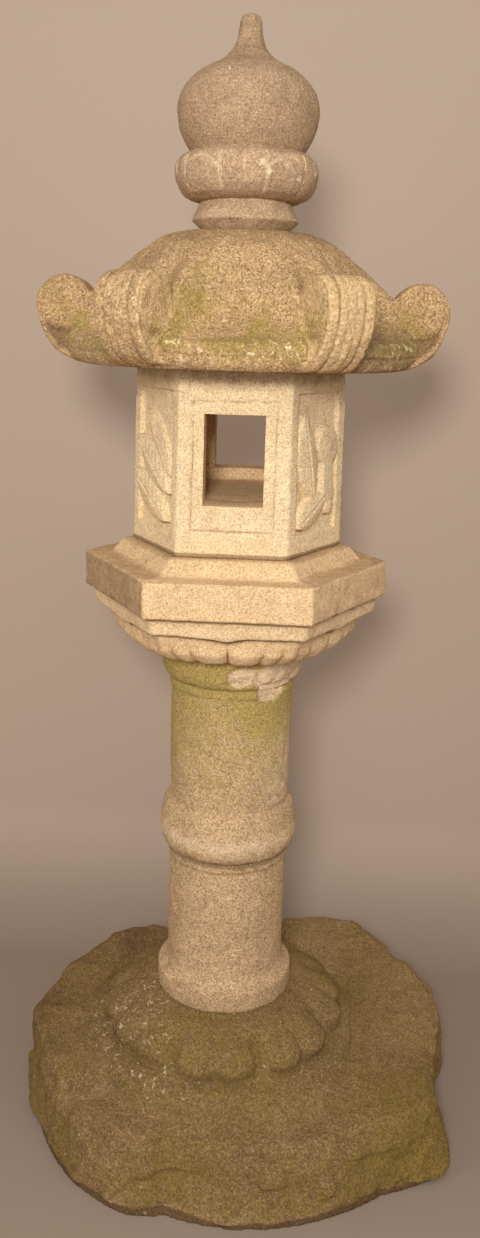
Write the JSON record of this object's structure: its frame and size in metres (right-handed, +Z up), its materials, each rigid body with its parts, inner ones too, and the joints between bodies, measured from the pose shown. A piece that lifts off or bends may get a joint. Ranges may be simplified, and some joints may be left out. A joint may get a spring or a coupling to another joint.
{
  "type": "stone lantern",
  "caption": "Carved granite garden lantern: rough lotus-topped base, ringed round shaft, six-sided platform, windowed firebox, domed roof with curled scrolls and a jewel finial",
  "frame": {"origin": "On the shaft's axis, on the ground plane under the base stone", "axes": "+Z up along the shaft, -Y out through the front window, +X to the right of the front"},
  "size_m": [0.7788, 0.709, 1.82],
  "materials": {
    "base_granite": "rough granite, dark with moss and soil",
    "shaft_granite": "tooled granite, weathered, green with moss near the top",
    "platform_granite": "tooled granite, weathered on its upper faces",
    "firebox_granite": "clean tooled granite",
    "roof_granite": "tooled granite, weathered, with lichen",
    "finial_granite": "tooled granite, weathered grey"
  },
  "bodies": {
    "base": {"base_stone": "base_granite"},
    "shaft": {"shaft": "shaft_granite"},
    "platform": {"platform": "platform_granite"},
    "firebox": {"firebox": "firebox_granite"},
    "roof": {"roof": "roof_granite"},
    "finial": {"finial": "finial_granite"}
  },
  "joints": [
    {"name": "shaft_lift", "type": "slide", "parent": "base", "child": "shaft", "axis": [0, 0, 1], "range_m": [0, 0.08]},
    {"name": "platform_lift", "type": "slide", "parent": "shaft", "child": "platform", "axis": [0, 0, 1], "range_m": [0, 0.08]},
    {"name": "firebox_lift", "type": "slide", "parent": "platform", "child": "firebox", "axis": [0, 0, 1], "range_m": [0, 0.08]},
    {"name": "roof_lift", "type": "slide", "parent": "firebox", "child": "roof", "axis": [0, 0, 1], "range_m": [0, 0.08]},
    {"name": "finial_lift", "type": "slide", "parent": "roof", "child": "finial", "axis": [0, 0, 1], "range_m": [0, 0.08]}
  ]
}
